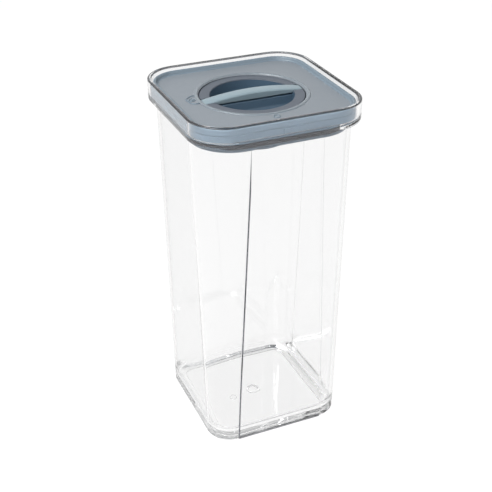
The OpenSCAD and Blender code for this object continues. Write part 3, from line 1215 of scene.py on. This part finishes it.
@dataclass
class Seal:
    """Square silicone ring with two ribs, which stretches when the press plate drops."""

    top: float = field(default_factory=lambda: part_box("seal_ring")[1].z / MM)
    bottom: float = field(default_factory=lambda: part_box("seal_ring")[0].z / MM)
    half: float = field(default_factory=lambda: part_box("seal_ring")[1].x / MM)
    corner: float = 24.1
    width: float = 3.9
    outline: Outline = Outline(arc_steps=14, panel_steps=6)

    def build(self, finishes: Finishes) -> None:
        """Make the seal.

        Args:
            finishes: The canister's finishes.
        """
        height = self.top - self.bottom
        ribs = [(0.9, 0.0), (0.25, 0.08), (0.0, 0.22), (0.15, 0.36), (0.9, 0.46), (0.9, 0.54), (0.15, 0.64)]
        ribs += [(0.0, 0.78), (0.25, 0.92), (0.9, 1.0), (self.width, 1.0), (self.width, 0.0)]
        rings = []
        for inset, share in ribs:
            level = Level(self.half - inset, self.corner - inset, self.bottom + height * share)
            rings.append(self.outline.ring(level))
        seal = skin("silicone_seal", rings, closed=True)
        dress(seal, finishes.silicone)
        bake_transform(seal)
        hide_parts("seal_ring")
        log.info("%s stretches between lid and press", seal.name)


@dataclass
class Springs:
    """Four round-wire springs on the guide posts, with closed ends."""

    place_at: float = 20.0
    coil_radius: float = 3.1
    wire: float = 0.45
    turns: float = 3.0
    top: float = field(default_factory=lambda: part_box("return_springs")[1].z / MM)
    bottom: float = field(default_factory=lambda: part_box("return_springs")[0].z / MM)

    def coil(self, x: float, y: float) -> Piece:
        """Make one spring.

        Args:
            x: Its axis along X, in millimetres.
            y: Its axis along Y, in millimetres.

        Returns:
            The spring.
        """
        rings = []
        per_turn, sides = 20, 8
        steps = int(self.turns * per_turn)
        low, high = self.bottom + self.wire, self.top - self.wire
        for k in range(steps + 1):
            share = k / steps
            rise = ease_ends(share, 1 / self.turns)
            angle = 2 * math.pi * self.turns * share
            height = low + (high - low) * rise
            ring = []
            for s in range(sides):
                b = 2 * math.pi * s / sides
                r = self.coil_radius + self.wire * math.cos(b)
                point = Vector((r * math.cos(angle), r * math.sin(angle), height + self.wire * math.sin(b)))
                ring.append((point + Vector((x, y, 0))) * MM)
            rings.append(ring)
        return skin("coil", rings)

    def build(self, finishes: Finishes) -> None:
        """Make the four springs as one piece.

        Args:
            finishes: The canister's finishes.
        """
        corners = [(sx * self.place_at, sy * self.place_at) for sx in (-1, 1) for sy in (-1, 1)]
        springs = merge("springs", [self.coil(x, y) for x, y in corners])
        dress(springs, finishes.spring)
        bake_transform(springs)
        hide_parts("return_springs")
        log.info("%s stretch between lid and press", springs.name)


def ease_ends(t: float, flat: float) -> float:
    """A rise that is slower over a first and a last share, like a spring's closed end coils.

    Args:
        t: Share of the way, 0 to 1.
        flat: Length of each slow end.

    Returns:
        The risen share.
    """
    slow = 0.35
    total = 1 - 2 * flat + 2 * flat * slow
    if t < flat:
        return t * slow / total
    if t > 1 - flat:
        return 1 - (1 - t) * slow / total
    return (flat * slow + t - flat) / total


# ---------------------------------------------------------------- carried mechanism


@dataclass
class Mechanism:
    """The CAD nodes that keep their shape and only get rounded edges and a finish."""

    rounding: dict[str, float] = field(
        default_factory=lambda: {
            "lid_tray": 0.3,
            "press_plate": 0.35,
            "cam_sleeve": 0.2,
            "hub_cap": 0.3,
            "spindle": 0.2,
            "glide_ring": 0.15,
            "thrust_washer": 0.12,
            "cam_pins": 0.2,
            "tray_screws": 0.15,
            "sleeve_screws": 0.15,
            "spindle_screws": 0.15,
            "grip_screws": 0.15,
            "cap_gasket": 0.1,
            "spindle_o_ring": 0.0,
        }
    )

    def build(self, finishes: Finishes) -> None:
        """Finish every carried node.

        Args:
            finishes: The canister's finishes.
        """
        finish = {
            # The tray takes the skirt's lighter copy of the lid plastic, which is painted light.
            Slot.LID.value: finishes.skirt,
            Slot.INNER.value: finishes.inner,
            Slot.ACETAL.value: finishes.acetal,
            Slot.SILICONE.value: finishes.silicone,
            Slot.SCREW.value: finishes.screw,
        }
        slots = {part["node"]: part["material_slot"] for part in frame["record"]["subparts"]}
        for name, width in self.rounding.items():
            node = frame["nodes"][name]
            dress(node, finish[slots[name]])
            if width:
                soften(node, width)
            log.info("%s is carried over with %s", name, slots[name])


# ---------------------------------------------------------------- studio


@dataclass
class Studio:
    """White table, soft surrounding light, four area lights and the camera."""

    azimuth: float = -23.7
    elevation: float = 29.8
    distance: float = 0.664
    aim: tuple[float, float, float] = (0.0, 0.0, 0.119)
    lens: float = 73.2
    shift: float = -0.0126
    table_size: float = 3.0

    def camera(self) -> None:
        """Place the camera round the canister's middle."""
        a, e = math.radians(self.azimuth), math.radians(self.elevation)
        back = Vector((math.sin(a) * math.cos(e), -math.cos(a) * math.cos(e), math.sin(e)))
        data = bpy.data.cameras.new("camera")
        data.lens, data.sensor_width = self.lens, 36.0
        data.shift_x = self.shift
        data.clip_start, data.clip_end = 0.01, 20.0
        camera = bpy.data.objects.new("camera", data)
        camera.location = Vector(self.aim) + back * self.distance
        camera.rotation_mode = "QUATERNION"
        camera.rotation_quaternion = (-back).to_track_quat("-Z", "Y")
        bpy.context.scene.collection.objects.link(camera)
        bpy.context.scene.camera = camera

    def table(self) -> None:
        """Make the white table that glows softly like a light table."""
        graph = Graph.fresh("table_white")
        both = graph.add("ShaderNodeAddShader")
        paper = graph.add("ShaderNodeBsdfDiffuse", Color=(0.08, 0.08, 0.08, 1))
        glow = graph.add("ShaderNodeEmission", Color=(1, 1, 1, 1), Strength=0.985)
        for shader, target in zip((paper, glow), both.inputs):
            graph.join(shader.outputs[0], target)
        half = self.table_size / 2 / MM
        table = slab("table", (-half, -half, -20.0), (half, half, 0.0))
        dress(table, graph.finish(Surface=both))
        table.location.z = -0.0002

    def surround(self) -> None:
        """Light the room: white at and below the horizon, greyer overhead."""
        world = bpy.data.worlds.new("room")
        world.use_nodes = True
        graph = Graph(world)
        background = world.node_tree.nodes["Background"]
        where = graph.add("ShaderNodeTexCoord").outputs["Generated"]
        height = graph.add("ShaderNodeSeparateXYZ", Vector=where).outputs["Z"]
        ramp = graph.add("ShaderNodeValToRGB", Fac=height)
        shades = ((0.5, (1, 1, 1, 1)), (0.8, (0.2, 0.21, 0.22, 1)))
        for stop, (position, colour) in zip(ramp.color_ramp.elements, shades):
            stop.position = position
            stop.color = colour
        power = graph.span(graph.add("ShaderNodeLightPath").outputs["Is Diffuse Ray"], 0.95, 0.45)
        graph.join(ramp.outputs["Color"], background.inputs["Color"])
        graph.join(power, background.inputs["Strength"])
        bpy.context.scene.world = world

    def soft_box(self, name: str, at: Sequence[float], size: Point, power: float) -> None:
        """Hang an area light that faces the lid.

        Args:
            name: The light's name.
            at: Its place, in metres.
            size: Its width and height, in metres.
            power: Its power, in watts.
        """
        data = bpy.data.lights.new(name, "AREA")
        data.shape = "RECTANGLE"
        data.size, data.size_y = size
        data.energy = power
        light = bpy.data.objects.new(name, data)
        light.location = Vector(at)
        aim = Vector((0, 0, 0.2)) - light.location
        light.rotation_mode = "QUATERNION"
        light.rotation_quaternion = aim.to_track_quat("-Z", "Y")
        bpy.context.scene.collection.objects.link(light)

    def build(self) -> None:
        """Set the camera, table, surround and lights."""
        self.camera()
        self.table()
        self.surround()
        self.soft_box("key", (-0.55, -0.1, 1.15), (0.8, 0.6), 15.0)
        self.soft_box("fill", (-0.55, -0.75, 0.75), (0.5, 0.5), 3.0)
        self.soft_box("panel", (0.38, -0.66, 0.85), (0.4, 0.6), 0.6)
        self.soft_box("strip", (0.406, 0.803, 0.701), (0.008, 0.073), 0.0073)
        scene = bpy.context.scene
        scene.view_settings.view_transform = "Standard"
        scene.cycles.max_bounces = 48
        scene.cycles.transmission_bounces = 32
        scene.cycles.glossy_bounces = 32


def main() -> None:
    """Build the canister piece by piece."""
    logging.basicConfig(level=logging.INFO, format="%(name)s: %(message)s")
    Studio().build()
    finishes = Finishes()
    Container().build(finishes)
    LidTop().build(finishes)
    Knob().build(finishes)
    Seal().build(finishes)
    Springs().build(finishes)
    Mechanism().build(finishes)


if __name__ == "__main__":
    main()
